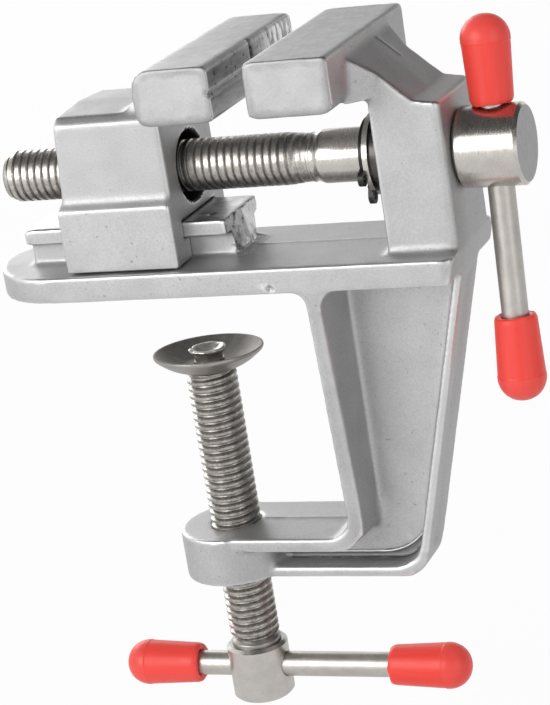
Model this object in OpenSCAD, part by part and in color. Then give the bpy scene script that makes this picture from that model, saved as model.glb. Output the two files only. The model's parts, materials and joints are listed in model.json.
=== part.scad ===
// Small clamp-on table vise: a cast C-frame with a fixed jaw, a moving jaw that slides on a T-rail,
// a main screw and a table clamp screw. Each screw is turned by a sliding bar with a cap on each end.
// Origin: underside of the base plate, which sits on the table, where the clamp screw's axis meets it.
// +X runs along the main screw towards its head, +Y to the back and +Z up.

/* [Base plate] */
// Width of the base plate, front to back
base_w = 24; // [23:0.5:30]
// Thickness of the base plate at its edges
base_t = 4.1; // [3.5:0.1:5]
// Reach of the base plate from the clamp screw to its rounded end
base_reach = 32; // [28:0.5:40]
// Radius of the base plate's corners under the upright
base_corner_r = 2; // [1:0.5:4]
// Rise of the cast ridge along the middle of the base plate and the arm
crown = 0.5; // [0.2:0.1:0.8]

/* [C-frame] */
// Height of the table throat, base plate to arm
throat_h = 41.4; // [36:0.2:60]
// Depth of the table throat, clamp screw to leg
throat_d = 22.5; // [18:0.5:28]
// Fillet radius at the foot of the throat
throat_r = 4; // [2:0.5:5]
// Fillet radius under the base plate
throat_top_r = 2.4; // [1:0.2:4]
// Fillet radius under the base plate inside the leg's pockets
pocket_r = 3.2; // [1:0.2:4]
// Thickness of the inner flange of the leg and the arm
flange_t = 2.2; // [1.8:0.1:3]
// Thickness of the web's raised panel in the middle of the leg
web_t = 2.4; // [2:0.2:4]
// Step on each side from the web's panel down to the thin web below it
web_step = 0.6; // [0.3:0.1:0.7]
// Height of the thin web over the rim under the arm
web_gap = 1.3; // [0.8:0.1:2]
// Radius of the web panel's lower corner
web_r = 9; // [6:0.5:10]
// Width of the outer rim, front to back
rim_w = 9.4; // [7:0.2:12]
// Thickness of the outer rim down the leg
rim_t = 1.4; // [1.2:0.1:2.4]
// Thickness of the outer rim under the arm
rim_floor_t = 1.8; // [1.4:0.1:2.4]
// Slope of the outer rim from upright, in degrees
rim_slope = 14.5; // [8:0.5:18]
// Outside radius of the rim's lower corner
rim_r = 4; // [3:0.5:6]
// Inside radius of the rim's lower corner
rim_inner_r = 5; // [3:0.5:6]
// Width of the shallow groove down the rim's outer face
rim_groove_w = 3; // [2:0.2:5]
// Depth of the groove down the rim's outer face
rim_groove_h = 0.5; // [0.3:0.1:0.8]
// Width of the arm, front to back
arm_w = 16.4; // [14:0.2:17]
// Height of the arm, over its boss
arm_h = 8; // [7:0.2:12]
// Diameter of the clamp screw's boss
boss_d = 17.2; // [16.6:0.2:20]
// Offset of the boss's centre from the clamp screw, away from the leg
boss_shift = 0.6; // [0.2:0.1:1.5]
// Draft of the leg's pockets: how much thicker the flange is at the web
flange_draft = 0.8; // [0.2:0.1:1.2]

/* [Fixed jaw] */
// Distance from the clamp screw to the fixed jaw's gripping face
jaw_x = 20.8; // [20:0.2:26]
// Width of both jaws, front to back
jaw_w = 36.8; // [30:0.2:44]
// Height of both jaw heads
jaw_h = 8.5; // [7:0.1:9]
// Height of the jaws' top over the base plate's underside
jaw_top = 37; // [36.5:0.5:44]
// Length of the fixed jaw's head along the screw
fixed_jaw_l = 13.2; // [11:0.2:16]
// Step from the fixed jaw's head to the upright's inner face
neck_step = 1.6; // [1:0.1:3]
// Width of the necks behind both jaw heads
neck_w = 17; // [15:0.2:19]
// Flare of the necks on each side towards the jaw heads
neck_flare = 3.4; // [1:0.2:4]
// Thickness of the upright along the screw
upright_l = 10.9; // [9:0.1:14]
// Width of the upright, front to back
upright_w = 17; // [15:0.2:20]
// Bevel on the upright's outer corners
upright_bevel = 0.6; // [0.4:0.1:2]
// Flare at the upright's foot
foot_flare = 0.6; // [0.4:0.1:2]
// Drop of the upright's shoulder below the jaw heads' underside
shoulder_drop = 1; // [0.6:0.1:2]
// Length of the upright's shoulder beyond the neck
shoulder_l = 4; // [3:0.2:5]

/* [Slide rail] */
// Reach of the rail from the clamp screw towards the rounded end
rail_reach = 25; // [22:0.5:27]
// Reach of the rail from the clamp screw towards the upright
rail_end = 9.8; // [9:0.2:11]
// Length of the rail's neck left beyond its head, where the cutter ran out
runout_l = 1.1; // [0.7:0.1:2]
// Height of the rail's top over the base plate's underside
rail_top = 10.7; // [9.8:0.1:11.5]
// Width of the rail's head
rail_head_w = 14; // [11:0.2:16]
// Thickness of the rail's head
rail_head_t = 2.5; // [2:0.1:3]
// Width of the rail's neck
rail_neck_w = 10; // [8:0.2:10.4]
// Clearance of the moving jaw on the rail
slide_gap = 0.15; // [0.1:0.05:0.3]

/* [Moving jaw] */
// Opening between the jaws as stored
jaw_gap = 5.4; // [4:0.2:12]
// Length of the moving jaw's head along the screw
moving_jaw_l = 12.4; // [10:0.2:14]
// Length of the moving jaw's block along the screw, at its top
block_l = 17.7; // [16:0.1:20]
// Draft of the block's outer end, from its top down to its foot
block_draft = 0.8; // [0.4:0.1:1]
// Step from the moving jaw's head back to the block's face
block_step = 0.4; // [0.2:0.1:1]
// Width of the block
block_w = 20; // [18:0.2:21]
// Rise of the cast ridge along the middle of the block's top
block_crown = 0.6; // [0.2:0.1:0.8]
// Width of the block's foot
foot_w = 22.4; // [21:0.2:23]
// Reach of the foot beyond the block's top at its outer end
foot_reach = 1.4; // [1:0.1:2]
// Height of the foot's shoulder over the base plate's underside
foot_top = 14.4; // [13:0.2:16]
// Height of the block over the jaw heads' underside
block_rise = 0.4; // [0.2:0.1:1]
// Length of the sloped neck behind the moving jaw's head
ramp_l = 6.6; // [5:0.2:9]
// Diameter of the relief bore around the screw in the block's face
relief_d = 11; // [10:0.2:13]
// Depth of the relief bore
relief_l = 6; // [4:0.5:9]
// Depth of the grooves in the gripping face
groove_h = 0.6; // [0.3:0.1:1.2]

/* [Main screw] */
// Outside diameter of both screws' threads
spindle_d = 8; // [7.4:0.1:8.6]
// Thread pitch of both screws
pitch = 1.25; // [1:0.05:1.5]
// Radial depth of the threads
thread_h = 0.7; // [0.4:0.05:0.9]
// Radial running clearance of screws and bars in their bores
run_gap = 0.08; // [0.05:0.01:0.1]
// Height of the main screw's axis over the base plate's underside
axis_h = 17.9; // [17.5:0.1:19]
// Reach of the main screw's tip from the clamp screw
main_reach = 28.9; // [27:0.1:36]
// Extra diameter of the plain shank over the thread
shank_step = 0.3; // [0.1:0.1:0.6]
// Length of the plain shank inside the upright's inner face
plain_l = 13; // [10:0.2:16]
// Length of the thread's run-out groove
undercut_l = 2; // [1:0.2:3]
// Diameter of the thrust washer
washer_d = 12.6; // [11.8:0.2:13]
// Thickness of the thrust washer
washer_t = 0.8; // [0.6:0.1:1.4]
// Diameter of the split spring washer
spring_washer_d = 11.4; // [10.8:0.2:12]
// Thickness of the split spring washer
spring_washer_t = 1.9; // [1.2:0.1:2.2]
// Width of the split in the spring washer
split_w = 0.8; // [0.5:0.1:1.2]
// Diameter over the retaining clip's lugs
clip_d = 15.4; // [14:0.2:17]
// Thickness of the retaining clip
clip_t = 0.8; // [0.5:0.1:1]
// Depth of the clip's groove in the shank
clip_groove = 0.6; // [0.4:0.1:1]
// Width of the retaining clip's ring
clip_rim = 2; // [1.2:0.1:2]
// Width of the retaining clip's two lugs
clip_lug_w = 2.3; // [2.2:0.1:3.2]
// Width of the gap between the lugs
clip_gap = 1.6; // [1:0.2:2.4]
// Diameter of the hole in each lug
clip_hole_d = 1.1; // [0.8:0.1:1.2]
// Diameter of the main screw's head
main_head_d = 12.4; // [11.6:0.2:14]
// Length of the main screw's head
main_head_l = 10; // [8.4:0.2:12]
// End float between turning faces
end_gap = 0.1; // [0.05:0.01:0.15]

/* [Bars and caps] */
// Diameter of both sliding bars
bar_d = 4.1; // [3.4:0.1:4.4]
// Length of the main bar between its caps
main_bar_span = 32.3; // [28:0.1:45]
// Length of the clamp bar between its caps
clamp_bar_span = 33.6; // [28:0.1:45]
// Length of the caps
cap_l = 13.3; // [12:0.1:18]
// Diameter of a cap at its mouth
cap_mouth_d = 6.7; // [6:0.1:7]
// Largest diameter of a cap
cap_d = 7.6; // [7.1:0.1:9]
// Length of bar held in each cap
cap_socket = 9; // [7:0.5:10]
// Offset of the main bar from the middle of its head
main_bar_shift = 0.3; // [0:0.1:0.5]
// Lean of the main bar from upright, in degrees
main_bar_lean = 4; // [0:1:30]
// Offset of the clamp bar from the middle of its head
clamp_bar_shift = 6.4; // [0:0.1:8]

/* [Table clamp] */
// Gap between the base plate and the clamp pad as stored
table_gap = 12; // [6:0.2:20]
// Diameter of the clamp pad
pad_d = 17.8; // [15:0.2:20]
// Height of the clamp pad
pad_h = 3.2; // [2.8:0.1:5]
// Sheet thickness of the clamp pad
pad_t = 0.9; // [0.6:0.1:1.2]
// Height of the clamp pad's edge
pad_lip = 0.5; // [0.3:0.1:0.8]
// Diameter of the clamp pad's flat seat
pad_seat_d = 9; // [8.8:0.2:11]
// Diameter of the screw's spigot through the pad
spigot_d = 4.8; // [4:0.1:5.2]
// Diameter of the peened tip inside the pad
peen_d = 6; // [5.7:0.1:6.6]
// Height of the peened tip
peen_h = 2; // [1.4:0.1:2.1]
// Distance from the pad's rim down to the clamp bar
clamp_drop = 55.4; // [52:0.2:75]
// Diameter of the clamp screw's head
clamp_head_d = 10.1; // [10:0.1:13]
// Length of the clamp screw's head
clamp_head_l = 9.4; // [8:0.2:12]
// Height of the clamp bar over the middle of its head
clamp_bar_rise = 0.4; // [0:0.1:0.6]

/* [Hidden] */

// Roundness of the exact curves, and the number of steps in a cast corner and in a half circle
$fn = 64;
arc_steps = 6;
half_circle_steps = 24;
// Overlap that joins neighbouring shapes of one casting, and reach of a cut past a face
bite = 1;
lap = 0.3;
// Thickness of a slice that stands for a cross-section
slice = 0.01;
// Radial clearance between pieces that are fixed to each other
fit_gap = 0.02;
cast_grey = [0.75, 0.75, 0.76];
steel = [0.72, 0.69, 0.65];
clip_black = [0.12, 0.12, 0.13];
cap_red = [0.93, 0.22, 0.18];

// Small corners: machined chamfers, cast rounds on the jaw heads
chamfer = 0.5;
block_chamfer = 1.2;
jaw_low_r = 1.2;
jaw_top_r = 1;
jaw_back_r = 2.8;
jaw_edge_r = 0.7;
jaw_heel_r = 1.8;
flare_rise = 1.4 * foot_flare;
shoulder_fall = 0.6;
// Roof of the necks: height over the jaw heads' underside, rise of the ridge at either end
neck_rise = jaw_h - 1.2;
neck_ridge = 0.3;
mid_ridge = 0.4;
shoulder_ridge = 0.3;
// Share of a neck's length over which its flare tapers off
neck_bend = 0.45;
// Solid end behind a screw's spigot, and the spigot's diameter in the screw's head
head_wall = 1.5;
stub_d = spindle_d - 1;
shank_d = spindle_d + shank_step;
// Side that the retaining clip opens to, from straight down, and the angle of its lugs from there
clip_turn = -46;
clip_lug_angle = 23;
// Hollow in the peened tip
peen_hollow_d = peen_d / 2;
peen_hollow_h = 1;

// Places along the screw
upright_x = jaw_x + fixed_jaw_l + neck_step;
upright_end = upright_x + upright_l;
shoulder_x = upright_end - shoulder_l;
rim_x = upright_end - base_t * tan(rim_slope);
moving_face_x = jaw_x - jaw_gap;
moving_head_x = moving_face_x - moving_jaw_l;
block_end = moving_head_x - block_step;
block_x = block_end - block_l;
foot_x = block_x - foot_reach;
thread_end = upright_x - plain_l;
spring_washer_x = upright_x - end_gap - spring_washer_t;
washer_x = spring_washer_x - washer_t;
clip_x = washer_x - clip_t;
main_head_x = upright_end + end_gap;
main_bar_x = main_head_x + main_head_l / 2 + main_bar_shift;

// Heights
jaw_z = jaw_top - jaw_h;
shoulder_z = jaw_z - shoulder_drop;
block_top = jaw_z + block_rise;
block_z = base_t + crown + slide_gap;
foot_z = block_z - crown * foot_w / base_w;
ledge = (foot_w - block_w) / 2;
arm_z = -throat_h - crown;
arm_bottom = arm_z - arm_h;
groove_z = jaw_z + jaw_h / 2;
rail_head_z = rail_top - rail_head_t;
pad_z = -table_gap;
pad_bottom = pad_z - pad_h;
pad_floor = pad_bottom + pad_t;
clamp_bar_z = pad_z - clamp_drop;
clamp_head_z = clamp_bar_z - clamp_bar_rise - clamp_head_l / 2;
clamp_head_top = clamp_head_z + clamp_head_l;
// Mouths of the caps along their bars, measured from the screws' axes
main_mouth_top = main_head_d / 2 + end_gap;
main_mouth_bottom = main_mouth_top - main_bar_span;
clamp_mouth_left = clamp_bar_shift - clamp_bar_span / 2;
clamp_mouth_right = clamp_bar_shift + clamp_bar_span / 2;

function unit(v) = v / norm(v);

// Points of an arc about c
function arc(c, r, from, to, steps) =
  [for (i = [0:steps]) let (a = from + (to - from) * i / steps) c + r * [cos(a), sin(a)]];

// Points of the round between the lines b-a and b-c
function corner(a, b, c, r) =
  let (u = unit(a - b), v = unit(c - b), half = acos(u * v) / 2,
    centre = b + unit(u + v) * r / sin(half),
    p = b + u * r / tan(half) - centre,
    q = b + v * r / tan(half) - centre,
    start = atan2(p.y, p.x),
    swing = atan2(p.x * q.y - p.y * q.x, p * q))
  arc(centre, r, start, start + swing, arc_steps);

// Outline through corners [x, y, radius], where radius 0 is a sharp corner
function outline(corners) =
  let (n = len(corners))
  [for (i = [0:n - 1])
    let (a = corners[(i + n - 1) % n], b = corners[i], c = corners[(i + 1) % n])
    each (b.z == 0 ? [[b.x, b.y]] : corner([a.x, a.y], [b.x, b.y], [c.x, c.y], b.z))];

// Outer and inner line of the leg's rim at height z
function rim_out(z) = rim_x + z * tan(rim_slope);
function rim_in(z) = rim_out(z) - rim_t / cos(rim_slope);

// Profile of thread rings, as many as fit between two places on a screw
function thread(from, to) =
  let (root = spindle_d / 2 - thread_h, crest = spindle_d / 2, turns = floor((to - from) / pitch))
  [for (i = [0:turns - 1], p = [[root, 0], [crest, 7 / 16], [crest, 9 / 16]])
    [p.x, from + (i + p.y) * pitch]];

// Slab of width w, front to back, from an outline in X and Z
module slab_y(w) {
  rotate([90, 0, 0]) linear_extrude(height = w, center = true) children();
}

// Bar of length l along X from x, from an outline in Y and Z
module slab_x(x, l) {
  translate([x, 0, 0]) rotate([90, 0, 90]) linear_extrude(height = l) children();
}

// Lays a shape about Z along the main screw, starting at x
module on_main_axis(x) {
  translate([x, 0, axis_h]) rotate([0, 90, 0]) children();
}

// Puts a shape about Z on the main bar, which leans about the main screw's axis
module on_main_bar() {
  translate([main_bar_x, 0, axis_h]) rotate([-main_bar_lean, 0, 0]) children();
}

// Puts a shape about Z on the clamp bar, which lies along X
module on_clamp_bar() {
  translate([0, 0, clamp_bar_z]) rotate([0, 90, 0]) children();
}

// Hole for a bar through a screw's head, about the bar's own axis
module bar_hole() {
  cylinder(d = bar_d + 2 * run_gap, h = 2 * main_head_d, center = true);
}

// Cross-section of a neck: flat sides and a roof with a ridge in the middle
module neck_slice(w, low, edge, ridge) {
  half = w / 2;
  polygon([[-half, low], [half, low], [half, edge], [0, edge + ridge], [-half, edge]]);
}

// Neck that slopes from a jaw head at x down to height z at x + run, flared towards the head
module neck(x, run, z) {
  top = jaw_z + neck_rise;
  bend_x = x + neck_bend * run;
  bend_z = top + neck_bend * (z - top);
  hull() {
    slab_x(x, slice) neck_slice(neck_w + 2 * neck_flare, jaw_z - lap, top, neck_ridge);
    slab_x(bend_x, slice) neck_slice(neck_w, jaw_z - lap, bend_z, mid_ridge);
  }
  hull() {
    slab_x(bend_x, slice) neck_slice(neck_w, z - bite, bend_z, mid_ridge);
    slab_x(x + run, slice) neck_slice(neck_w, z - bite, z, shoulder_ridge);
  }
}

// Plate with one round end, a ridged top and an end that follows the rim's slope
module base_plate() {
  half = base_w / 2;
  top = base_t + crown;
  intersection() {
    linear_extrude(height = top)
      polygon(concat(arc([half - base_reach, 0], half, 90, 270, half_circle_steps),
        corner([0, -half], [upright_end, -half], [upright_end, half], base_corner_r),
        corner([upright_end, -half], [upright_end, half], [0, half], base_corner_r)));
    slab_x(-base_reach - bite, base_reach + upright_end + 2 * bite)
      polygon([[-half, 0], [half, 0], [half, base_t], [0, top], [-half, base_t]]);
    slab_y(base_w + bite)
      polygon([[-base_reach - bite, 0], [rim_out(0), 0], [rim_out(top), top], [-base_reach - bite, top]]);
  }
}

// T-rail on the base plate, with a neck that runs on a little beyond its head
module rail() {
  half = rail_head_w / 2;
  stem = rail_neck_w / 2;
  high = rail_head_z + bite;
  slab_x(-rail_reach, rail_reach + rail_end)
    polygon([[-stem, base_t], [stem, base_t], [stem, rail_head_z], [half, rail_head_z],
      [half, rail_top], [-half, rail_top], [-half, rail_head_z], [-stem, rail_head_z]]);
  slab_x(rail_end - bite, bite + runout_l)
    polygon([[-stem, base_t], [stem, base_t], [stem, high], [-stem, high]]);
}

// Inner flange: down the leg and out along the arm, narrowing from the base plate to the arm, with
// drafted sides and a round under the base plate
module inner_flange() {
  base_half = base_w / 2;
  arm_half = arm_w / 2;
  inside = throat_d + flange_t;
  low = arm_z - flange_t;
  root_x = throat_d - throat_top_r - bite;
  intersection() {
    union() {
      slab_y(base_w)
        polygon(outline([[0, arm_z, 0], [throat_d, arm_z, throat_r], [throat_d, 0, throat_top_r],
          [root_x, 0, 0], [root_x, bite, 0], [inside, bite, 0], [inside, low, throat_r + bite], [0, low, 0]]));
      translate([0, 0, arm_z])
        linear_extrude(height = bite - arm_z)
          polygon([[inside - bite, -base_half], [inside, -base_half], [inside + flange_draft, 0],
            [inside, base_half], [inside - bite, base_half]]);
      slab_y(base_w)
        polygon(concat([[inside - lap, -pocket_r]],
          corner([inside, -2 * pocket_r], [inside, 0], [inside + 2 * pocket_r, 0], pocket_r),
          [[inside + pocket_r, lap], [inside - lap, lap]]));
    }
    slab_x(-bite, inside + pocket_r + 2 * bite)
      polygon([[-base_half, bite], [-base_half, 0], [-arm_half, arm_z], [-arm_half, low - bite],
        [arm_half, low - bite], [arm_half, arm_z], [base_half, 0], [base_half, bite]]);
  }
}

// Ridge along the top of the arm
module arm_ridge() {
  half = arm_w / 2;
  slab_x(0, throat_d + flange_t / 2)
    polygon([[-half, arm_z], [0, arm_z + crown], [half, arm_z], [0, arm_z - bite]]);
}

// Thin wall in the middle of the leg and the arm, between the flange and the rim, with a raised panel
module web() {
  inside = throat_d + lap;
  high = arm_z - lap;
  panel = arm_bottom + rim_floor_t + web_gap;
  slab_y(web_t)
    polygon(outline([[inside, bite, 0], [rim_in(bite) + lap, bite, 0], [rim_in(panel) + lap, panel, web_r],
      [0, panel, 0], [0, high, 0], [inside, high, 0]]));
  slab_y(web_t - 2 * web_step)
    polygon(outline([[inside, bite, 0], [rim_out(bite), bite, 0],
      [rim_out(arm_bottom), arm_bottom, rim_r], [0, arm_bottom, 0], [0, high, 0], [inside, high, 0]]));
}

// Rim down the leg's sloped outside and along the arm's underside
module outer_rim() {
  low = arm_bottom + rim_floor_t;
  slab_y(rim_w)
    polygon(outline([[rim_out(bite), bite, 0], [rim_out(arm_bottom), arm_bottom, rim_r],
      [0, arm_bottom, 0], [0, low, 0], [rim_in(low), low, rim_inner_r], [rim_in(bite), bite, 0]]));
}

// Cut for the shallow groove down the rim's outer face
module rim_groove() {
  high = -bite;
  low = arm_bottom + rim_r;
  slab_y(rim_groove_w)
    polygon([[rim_out(high) - rim_groove_h, high], [rim_out(high) + bite, high],
      [rim_out(low) + bite, low], [rim_out(low) - rim_groove_h, low]]);
}

// Jaw head from its gripping face at face_x to its back at back_x, which has a round of back_r on top
module jaw_head(face_x, back_x, back_r) {
  slab_y(jaw_w)
    polygon(outline([[face_x, jaw_z, jaw_low_r], [back_x, jaw_z, jaw_heel_r], [back_x, jaw_top, back_r],
      [face_x, jaw_top, jaw_top_r]]));
}

// Upright with bevelled outer corners, a sloped shoulder and a flared foot
module upright() {
  half = upright_w / 2;
  bevel_x = upright_end - upright_bevel;
  inner = half - upright_bevel;
  intersection() {
    linear_extrude(height = jaw_top)
      polygon([[upright_x, -half], [bevel_x, -half], [upright_end, -inner], [upright_end, inner],
        [bevel_x, half], [upright_x, half]]);
    slab_y(base_w)
      polygon([[upright_x, base_t], [upright_end, base_t], [upright_end, shoulder_z - shoulder_fall],
        [shoulder_x, shoulder_z], [upright_x, jaw_z]]);
  }
  slab_x(upright_x, upright_l - upright_bevel)
    polygon([[-half - foot_flare, base_t], [half + foot_flare, base_t], [half, base_t + flare_rise],
      [-half, base_t + flare_rise]]);
}

module frame_casting() {
  neck_x = jaw_x + fixed_jaw_l - jaw_edge_r;
  color(cast_grey) difference() {
    union() {
      base_plate();
      rail();
      inner_flange();
      arm_ridge();
      web();
      outer_rim();
      translate([-boss_shift, 0, arm_bottom]) cylinder(d = boss_d, h = arm_h);
      jaw_head(jaw_x, jaw_x + fixed_jaw_l, jaw_edge_r);
      upright();
      neck(neck_x, shoulder_x - neck_x, shoulder_z);
    }
    rim_groove();
    on_main_axis(upright_x - bite) cylinder(d = shank_d + 2 * run_gap, h = upright_l + 2 * bite);
    translate([0, 0, arm_bottom - bite])
      cylinder(d = spindle_d + 2 * run_gap, h = arm_h + crown + 2 * bite);
  }
}

// Block of the moving jaw: a wide foot that follows the base plate's ridge, a ledge, a drafted outer
// end and a ridged top with bevelled edges
module jaw_block() {
  foot = foot_w / 2;
  half = block_w / 2;
  flat = half - block_chamfer;
  edge = block_top - block_chamfer;
  shelf = foot_top + ledge;
  intersection() {
    slab_x(foot_x, block_end - foot_x)
      polygon([[-foot, foot_z], [0, block_z], [foot, foot_z], [foot, foot_top], [half, shelf], [half, edge],
        [flat, block_top], [0, block_top + block_crown], [-flat, block_top], [-half, edge],
        [-half, shelf], [-foot, foot_top]]);
    slab_y(foot_w + bite)
      polygon([[foot_x, base_t], [block_end, base_t], [block_end, jaw_top], [block_x, jaw_top],
        [block_x, block_top], [block_x - block_draft, shelf], [foot_x, foot_top]]);
  }
}

// Cut for the rail, along the whole block
module rail_slot() {
  half = rail_head_w / 2 + slide_gap;
  stem = rail_neck_w / 2 + slide_gap;
  under = rail_head_z - slide_gap;
  over = rail_top + slide_gap;
  slab_x(foot_x - bite, block_end - foot_x + 2 * bite)
    polygon([[-stem, base_t - bite], [stem, base_t - bite], [stem, under], [half, under],
      [half, over], [-half, over], [-half, under], [-stem, under]]);
}

// Outline of a groove cut into the gripping face, about the middle
module groove_outline() {
  polygon([[moving_face_x - groove_h, 0], [moving_face_x + bite, -groove_h - bite],
    [moving_face_x + bite, groove_h + bite]]);
}

module moving_jaw() {
  color(cast_grey) difference() {
    union() {
      jaw_head(moving_face_x, moving_head_x, jaw_back_r);
      jaw_block();
      neck(moving_head_x + jaw_back_r, -jaw_back_r - ramp_l, block_top);
    }
    rail_slot();
    translate([0, 0, groove_z]) slab_y(jaw_w + bite) groove_outline();
    translate([0, 0, jaw_z - bite]) linear_extrude(height = jaw_h + 2 * bite) groove_outline();
    on_main_axis(foot_x - bite) cylinder(d = spindle_d + 2 * run_gap, h = block_end - foot_x + 2 * bite);
    on_main_axis(block_end - relief_l) cylinder(d = relief_d, h = relief_l + bite);
  }
}

// Threaded spindle with a plain shank, a clip groove and a stub in its head; its tip is the start
module main_spindle() {
  r = shank_d / 2;
  root = spindle_d / 2 - thread_h;
  shank = main_reach + thread_end + undercut_l;
  clip = main_reach + clip_x;
  head = main_reach + main_head_x;
  stub_end = head + main_head_l - head_wall - fit_gap;
  color(steel) difference() {
    on_main_axis(-main_reach) rotate_extrude()
      polygon(concat([[0, 0]], thread(0, main_reach + thread_end),
        [[root, shank], [r, shank], [r, clip - fit_gap], [r - clip_groove, clip - fit_gap],
          [r - clip_groove, clip + clip_t + fit_gap], [r, clip + clip_t + fit_gap], [r, head - fit_gap],
          [stub_d / 2, head - fit_gap], [stub_d / 2, stub_end], [0, stub_end]]));
    on_main_bar() bar_hole();
  }
}

// Bevelled round head from z = 0 up, bored from below for a screw's stub
module screw_head(d, l) {
  r = d / 2;
  difference() {
    rotate_extrude()
      polygon([[0, 0], [r - chamfer, 0], [r, chamfer], [r, l - chamfer], [r - chamfer, l], [0, l]]);
    translate([0, 0, -bite]) cylinder(d = stub_d + 2 * fit_gap, h = l - head_wall + bite);
  }
}

module main_screw_head() {
  color(steel) difference() {
    on_main_axis(main_head_x) screw_head(main_head_d, main_head_l);
    on_main_bar() bar_hole();
  }
}

// External retaining ring in the shank's groove, with a holed lug on each side of its gap
module retaining_clip() {
  inner = shank_d / 2 - clip_groove + fit_gap;
  lug_r = (clip_d - clip_lug_w) / 2;
  color(clip_black) on_main_axis(clip_x) rotate([0, 0, clip_turn]) difference() {
    union() {
      cylinder(r = inner + clip_rim, h = clip_t);
      for (side = [-1, 1]) rotate([0, 0, side * clip_lug_angle]) {
        translate([0, -clip_lug_w / 2, 0]) cube([lug_r, clip_lug_w, clip_t]);
        translate([lug_r, 0, 0]) cylinder(d = clip_lug_w, h = clip_t);
      }
    }
    translate([0, 0, -bite]) cylinder(r = inner, h = clip_t + 2 * bite);
    translate([0, -clip_gap / 2, -bite]) cube([clip_d, clip_gap, clip_t + 2 * bite]);
    for (side = [-1, 1]) rotate([0, 0, side * clip_lug_angle])
      translate([lug_r, 0, -bite]) cylinder(d = clip_hole_d, h = clip_t + 2 * bite);
  }
}

// Plain ring on the main screw's shank
module ring(d, t) {
  difference() {
    cylinder(d = d, h = t);
    translate([0, 0, -bite]) cylinder(d = shank_d + 2 * fit_gap, h = t + 2 * bite);
  }
}

module thrust_washer() {
  color(steel) on_main_axis(washer_x) ring(washer_d, washer_t);
}

module spring_washer() {
  color(steel) on_main_axis(spring_washer_x) difference() {
    ring(spring_washer_d, spring_washer_t);
    translate([0, -split_w / 2, -bite]) cube([spring_washer_d, split_w, spring_washer_t + 2 * bite]);
  }
}

// Bar about Z between its caps' mouths, the lower one at z = low, and on into both caps
module bar(low, span) {
  translate([0, 0, low - cap_socket]) cylinder(d = bar_d, h = span + 2 * cap_socket);
}

// Round-ended cap about Z with its mouth at z = 0
module cap() {
  r = cap_d / 2;
  socket = bar_d / 2 + fit_gap;
  mouth = cap_mouth_d / 2;
  floor = cap_socket + fit_gap;
  color(cap_red) rotate_extrude()
    polygon(concat([[socket, 0], [mouth - chamfer, 0], [mouth, chamfer]],
      arc([0, cap_l - r], r, 0, 90, 2 * arc_steps), [[0, floor], [socket, floor]]));
}

module main_handle_bar() {
  color(steel) on_main_bar() bar(main_mouth_bottom, main_bar_span);
}

module main_handle_cap_top() {
  on_main_bar() translate([0, 0, main_mouth_top]) cap();
}

module main_handle_cap_bottom() {
  on_main_bar() translate([0, 0, main_mouth_bottom]) rotate([180, 0, 0]) cap();
}

// Threaded spindle with a stub in its head and a peened spigot through the pad
module clamp_spindle() {
  r = spindle_d / 2;
  collar = clamp_head_top + undercut_l;
  shoulder = pad_bottom - end_gap / 2;
  seat = pad_floor + end_gap / 2;
  tip = seat + peen_h;
  stub = clamp_head_z + head_wall + fit_gap;
  color(steel) difference() {
    rotate_extrude()
      polygon(concat([[0, stub], [stub_d / 2, stub], [stub_d / 2, clamp_head_top + fit_gap],
        [r, clamp_head_top + fit_gap], [r, collar]], thread(collar, shoulder - chamfer),
        [[r - thread_h, shoulder], [spigot_d / 2, shoulder], [spigot_d / 2, seat], [peen_d / 2, seat],
          [peen_d / 2, tip - chamfer], [peen_d / 2 - chamfer, tip], [peen_hollow_d / 2, tip],
          [0, tip - peen_hollow_h]]));
    on_clamp_bar() bar_hole();
  }
}

module clamp_screw_head() {
  color(steel) difference() {
    translate([0, 0, clamp_head_top]) rotate([180, 0, 0]) screw_head(clamp_head_d, clamp_head_l);
    on_clamp_bar() bar_hole();
  }
}

// Dished pad, open at the top, that hangs on the clamp screw's spigot
module clamp_pad() {
  rim = pad_d / 2;
  seat = pad_seat_d / 2;
  hole = spigot_d / 2 + run_gap;
  color(steel) rotate_extrude()
    polygon([[hole, pad_bottom], [seat, pad_bottom], [rim, pad_z - pad_lip], [rim, pad_z],
      [rim - pad_t, pad_z], [seat, pad_floor], [hole, pad_floor]]);
}

module clamp_handle_bar() {
  color(steel) on_clamp_bar() bar(clamp_mouth_left, clamp_bar_span);
}

module clamp_handle_cap_left() {
  on_clamp_bar() translate([0, 0, clamp_mouth_left]) rotate([180, 0, 0]) cap();
}

module clamp_handle_cap_right() {
  on_clamp_bar() translate([0, 0, clamp_mouth_right]) cap();
}

frame_casting();
moving_jaw();
main_spindle();
main_screw_head();
retaining_clip();
thrust_washer();
spring_washer();
main_handle_bar();
main_handle_cap_top();
main_handle_cap_bottom();
clamp_spindle();
clamp_screw_head();
clamp_pad();
clamp_handle_bar();
clamp_handle_cap_left();
clamp_handle_cap_right();
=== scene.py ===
"""Looks of a small clamp-on table vise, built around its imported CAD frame.

Sizes are written in mm. MM turns them into the metres that Blender and the frame use.
"""

import json
import math

import bpy
import numpy as np
from mathutils import Matrix, Vector, noise


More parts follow.
